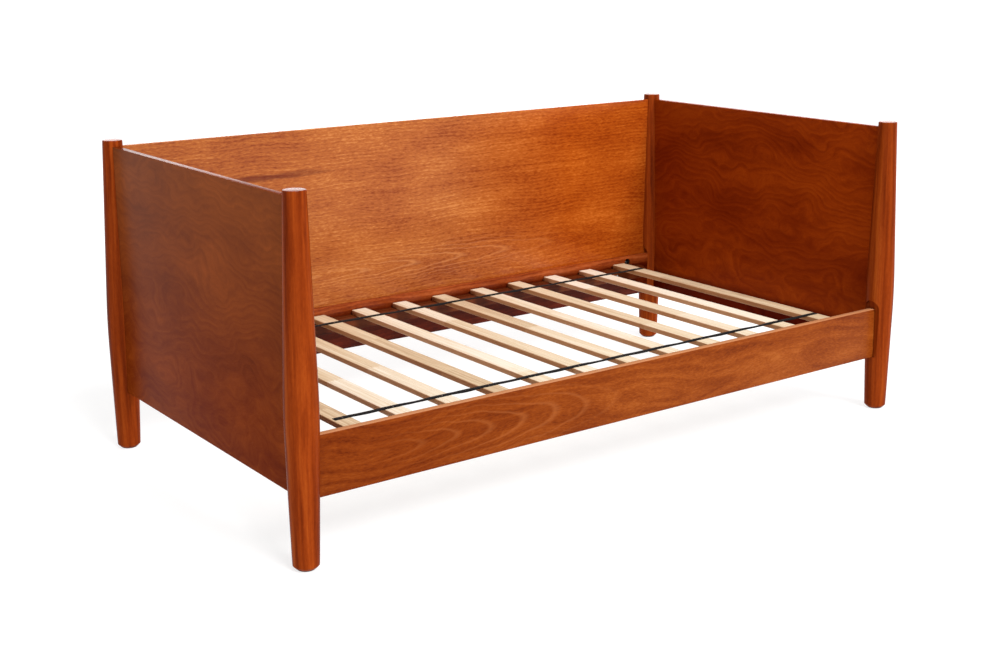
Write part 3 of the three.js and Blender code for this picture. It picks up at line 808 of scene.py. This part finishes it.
# Where each slat's two joints lie, in metres along Y.
JOINTS = (
    (-0.31, 0.22), (-0.12, 0.30), (-0.08, 0.41), (-0.22, 0.16), (-0.35, 0.35), (-0.41, 0.20),
    (-0.004, 0.44), (-0.26, 0.09), (-0.18, 0.33), (-0.156, 0.27), (-0.38, 0.12), (-0.05, 0.25),
)
FINGER_LENGTH, FINGER_PITCH = 10, 5

# Planed pine is matt and cream, with a slightly different tone in every length of a slat.
pine, tree = new_material("planed_pine")
place = add(tree, "ShaderNodeTexCoord").outputs["Object"]
joints = add(tree, "ShaderNodeAttribute", attribute_name="joints").outputs["Vector"]
joints = add(tree, "ShaderNodeSeparateXYZ", {0: joints}).outputs
across = add(tree, "ShaderNodeSeparateXYZ", {0: place}).outputs
fingers = add(tree, "ShaderNodeMath", {
    0: across[0], 1: FINGER_PITCH / 2 * MM,
}, operation="PINGPONG").outputs[0]
along = add(tree, "ShaderNodeMath", {
    0: fingers, 1: FINGER_LENGTH / (FINGER_PITCH / 2), 2: across[1],
}, operation="MULTIPLY_ADD").outputs[0]
first = add(tree, "ShaderNodeMath", {0: along, 1: joints[0]}, operation="GREATER_THAN").outputs[0]
second = add(tree, "ShaderNodeMath", {0: along, 1: joints[1]}, operation="GREATER_THAN").outputs[0]
length = add(tree, "ShaderNodeMath", {0: first, 1: second}, operation="ADD").outputs[0]
stave = add(tree, "ShaderNodeMath", {0: length, 1: 0.31, 2: joints[2]}, operation="MULTIPLY_ADD").outputs[0]
lot = add(tree, "ShaderNodeTexWhiteNoise", {"W": stave}, noise_dimensions="1D").outputs
moved = add(tree, "ShaderNodeVectorMath", {
    0: lot["Color"], 1: (9, 9, 9), 2: place,
}, operation="MULTIPLY_ADD").outputs[0]
# Growth lines 3 to 6 mm apart, and fibre drawn 1.5 mm wide so that it shows.
lines = add(tree, "ShaderNodeMapping", {"Vector": moved, "Scale": (190, 2.6, 60)}).outputs[0]
lines = add(tree, "ShaderNodeTexNoise", {"Vector": lines, "Scale": 1.0, "Detail": 3.0}).outputs["Fac"]
fibre = add(tree, "ShaderNodeMapping", {"Vector": moved, "Scale": (650, 18, 650)}).outputs[0]
fibre = add(tree, "ShaderNodeTexNoise", {"Vector": fibre, "Scale": 1.0, "Detail": 2.0}).outputs["Fac"]
tone = add(tree, "ShaderNodeMath", {0: lot["Value"], 1: 0.55, 2: -0.42}, operation="MULTIPLY_ADD").outputs[0]
tone = add(tree, "ShaderNodeMath", {0: lines, 1: 0.9, 2: tone}, operation="MULTIPLY_ADD").outputs[0]
tone = add(tree, "ShaderNodeMath", {0: fibre, 1: 0.45, 2: tone}, operation="MULTIPLY_ADD").outputs[0]
wood = add(tree, "ShaderNodeValToRGB", {"Fac": tone}, stops=(
    (0.15, colour("#b29474")), (0.9, colour("#e9dfcf")), (0.4, colour("#cfb897")), (0.62, colour("#dbcab0")),
))
# The long sides are browner than the top: painted shade, warmed by light bounced off the stained frame.
sides = add(tree, "ShaderNodeNewGeometry").outputs["Normal"]
sides = add(tree, "ShaderNodeSeparateXYZ", {0: sides}).outputs[0]
sides = add(tree, "ShaderNodeMath", {0: sides}, operation="ABSOLUTE").outputs[0]
painted_side_shade = add(tree, "ShaderNodeMix", {
    0: sides, 6: wood.outputs["Color"], 7: colour("#d2a480"),
}, data_type="RGBA", blend_type="MULTIPLY").outputs[2]
relief = add(tree, "ShaderNodeBump", {"Height": fibre, "Strength": 0.2, "Distance": 0.2 * MM})
shader = add(tree, "ShaderNodeBsdfPrincipled", {
    "Base Color": painted_side_shade, "Roughness": 0.62, "IOR": 1.3, "Normal": relief.outputs[0],
})
add(tree, "ShaderNodeOutputMaterial", {"Surface": shader.outputs["BSDF"]})

for number, (near, far) in enumerate(JOINTS, start=1):
    node = f"slat_{number:02d}"
    slat = finish(
        f"jointed_slat_{number:02d}", board(node, SLAT_EDGE), pine, "slat_deck", [node],
    )
    facts = slat.data.attributes.new("joints", "FLOAT_VECTOR", "POINT")
    facts.data.foreach_set("vector", (near, far, float(number)) * len(slat.data.vertices))


# The slat straps. Two lengths of woven black polypropylene webbing tie the slats together. Each lies flat
# on every slat, where a staple holds it, and is a little slack and turned in the gaps.
STRAP_SAG = 1
STRAP_CLEAR = 0.2
# How far the webbing turns in each of the gaps between slats, in degrees.
TURNS = (2, -5, 8, -3, 4, -6, 3, -4, 6, -5, 2)
GAP_STEPS = 10
SELVEDGE = 0.4
WARP_RIB, WEFT_RIB = 1.6, 1.2
STAPLE_WIRE = 1.2
# Points across the strap and up from the slat.
STAPLE_OUTLINE = (
    (-5, 0), (-5, 2.2), (5, 2.2), (5, 0), (4.4, 0), (4.4, 1.75), (-4.4, 1.75), (-4.4, 0),
)

# Woven polypropylene is black and dull, with ribs both ways and paler lint in the weave.
webbing, tree = new_material("woven_polypropylene")
cloth = add(tree, "ShaderNodeUVMap", uv_map="cloth").outputs["UV"]
warp = add(tree, "ShaderNodeTexWave", {
    "Vector": cloth, "Scale": WAVE_REPEAT / (WARP_RIB * MM),
}, bands_direction="Y").outputs["Fac"]
weft = add(tree, "ShaderNodeTexWave", {
    "Vector": cloth, "Scale": WAVE_REPEAT / (WEFT_RIB * MM),
}, bands_direction="X").outputs["Fac"]
weave = add(tree, "ShaderNodeMath", {0: warp, 1: weft}, operation="MULTIPLY").outputs[0]
lint = add(tree, "ShaderNodeTexNoise", {"Vector": cloth, "Scale": 300.0, "Detail": 3.0}).outputs["Fac"]
worn = add(tree, "ShaderNodeMath", {0: lint, 1: 0.5, 2: weave}, operation="MULTIPLY_ADD").outputs[0]
shade = add(tree, "ShaderNodeValToRGB", {"Fac": worn}, stops=(
    (0.2, colour("#050506")), (1.0, colour("#1a1a1c")),
))
relief = add(tree, "ShaderNodeBump", {"Height": weave, "Strength": 0.6, "Distance": 0.3 * MM})
shader = add(tree, "ShaderNodeBsdfPrincipled", {
    "Base Color": shade.outputs["Color"], "Roughness": 0.8, "IOR": 1.2, "Sheen Weight": 0.03,
    "Normal": relief.outputs[0],
})
add(tree, "ShaderNodeOutputMaterial", {"Surface": shader.outputs["BSDF"]})

for line in ("front", "back"):
    low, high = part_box(f"slat_strap_{line}")
    deck_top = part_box("slat_01")[1].z
    low.z = deck_top + STRAP_CLEAR * MM
    centre = (low + high) / 2
    band = block(low, high)
    long_edges = [edge for edge in band.edges if edge.calc_length() > 1]
    bmesh.ops.bevel(
        band, geom=long_edges, offset=SELVEDGE * MM, segments=1, profile=0.5, affect="EDGES", material=-1,
    )
    for number, degrees in enumerate(TURNS, start=1):
        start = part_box(f"slat_{number:02d}")[1].x
        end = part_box(f"slat_{number + 1:02d}")[0].x
        for step in range(GAP_STEPS + 1):
            bmesh.ops.bisect_plane(
                band, geom=band.verts[:] + band.edges[:] + band.faces[:], dist=1e-7,
                plane_co=(start + (end - start) * step / GAP_STEPS, 0, 0), plane_no=(1, 0, 0),
            )
        for vert in band.verts:
            share = (vert.co.x - start) / (end - start)
            if 0 < share < 1:
                axis = Vector((vert.co.x, centre.y, centre.z))
                turn = math.radians(degrees if line == "front" else -degrees) * math.sin(math.pi * share) ** 2
                vert.co = axis + Matrix.Rotation(turn, 3, "X") @ (vert.co - axis)
                vert.co.z -= 4 * STRAP_SAG * MM * share * (1 - share)
    cloth_layer = band.loops.layers.uv.new("cloth")
    for face in band.faces:
        for loop in face.loops:
            loop[cloth_layer].uv = (loop.vert.co.x, loop.vert.co.y - centre.y)
    finish(
        f"webbing_strap_{line}", band, webbing, "slat_deck", [f"slat_strap_{line}"],
        crease=50,
    )

    # The staples are flat galvanised wire, with the crown across the strap and the legs down through it.
    wire = bmesh.new()
    for number in range(1, len(JOINTS) + 1):
        slat_low, slat_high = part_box(f"slat_{number:02d}")
        x = (max(slat_low.x, low.x) + min(slat_high.x, high.x)) / 2
        points = [
            wire.verts.new((x - STAPLE_WIRE / 2 * MM, centre.y + side * MM, deck_top + up * MM))
            for side, up in STAPLE_OUTLINE
        ]
        crown = bmesh.ops.extrude_face_region(wire, geom=[wire.faces.new(points)])["geom"]
        bmesh.ops.translate(
            wire, verts=[part for part in crown if isinstance(part, bmesh.types.BMVert)],
            vec=(STAPLE_WIRE * MM, 0, 0),
        )
    finish(f"strap_staples_{line}", eased(wire, 0.15), zinc, "slat_deck", [])
